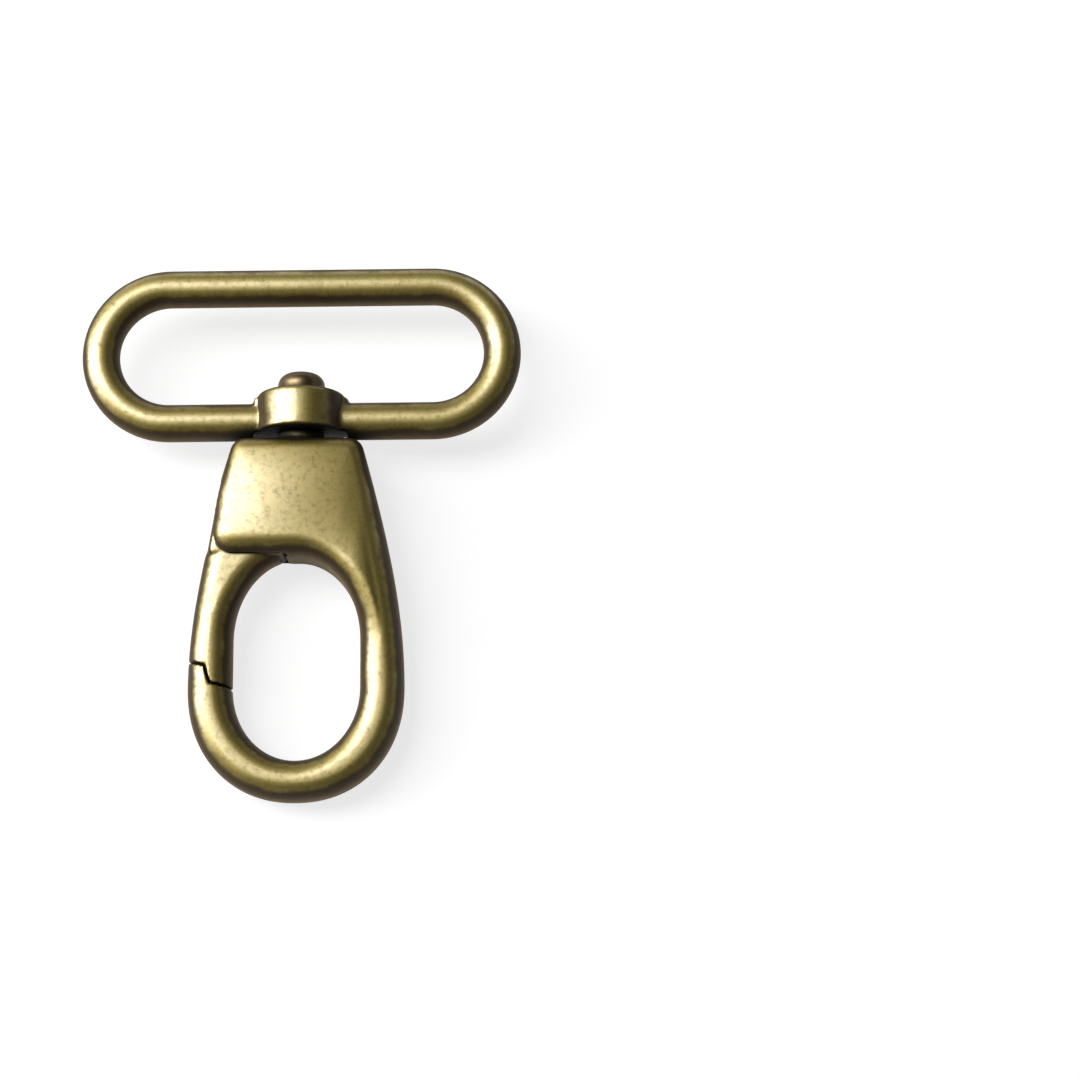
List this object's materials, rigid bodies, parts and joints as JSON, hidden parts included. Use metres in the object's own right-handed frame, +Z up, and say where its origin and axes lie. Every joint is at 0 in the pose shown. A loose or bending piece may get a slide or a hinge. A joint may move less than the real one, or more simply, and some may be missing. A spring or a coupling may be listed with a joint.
{
  "type": "swivel snap hook",
  "caption": "Die-cast swivel snap hook with a sprung push gate that opens inward and a flat oval loop for a strap, lying on its back.",
  "frame": {"origin": "centre of the bounding box's underside, on the surface that the hook lies on", "axes": "+Y from the hook's heel to the strap loop, +Z up through the hook's front, +X across the loop with the gate at -X; the hook's own plane leans back by 3.7 degrees about X, as it lies on its collar and heel"},
  "size_m": [0.0458, 0.0562, 0.0098],
  "materials": {
    "cast_antique_brass": "satin antique plating, darker in hollows and brighter on worn edges",
    "plated_rivet": "smooth antique plating over steel, polished by rubbing",
    "spring_wire": "drawn spring wire"
  },
  "bodies": {
    "hook": {"hook_body": "cast_antique_brass", "gate_pin": "plated_rivet", "gate_spring": "spring_wire", "swivel_rivet": "plated_rivet"},
    "gate": {"gate": "cast_antique_brass"},
    "ring": {"swivel_ring": "cast_antique_brass"}
  },
  "joints": [
    {"name": "gate_hinge", "type": "hinge", "parent": "hook", "child": "gate", "pos_m": [-0.00602, 0.00117, 0.00435], "axis": [0, -0.0647, 0.9979], "range_deg": [0, 28], "stiffness_Nm_per_rad": 0.01, "springref_deg": -28.65, "deforming": ["gate_spring"]},
    {"name": "ring_swivel", "type": "hinge", "parent": "hook", "child": "ring", "pos_m": [0, 0.01231, 0.00508], "axis": [0, 0.9979, 0.0647], "continuous": true}
  ]
}
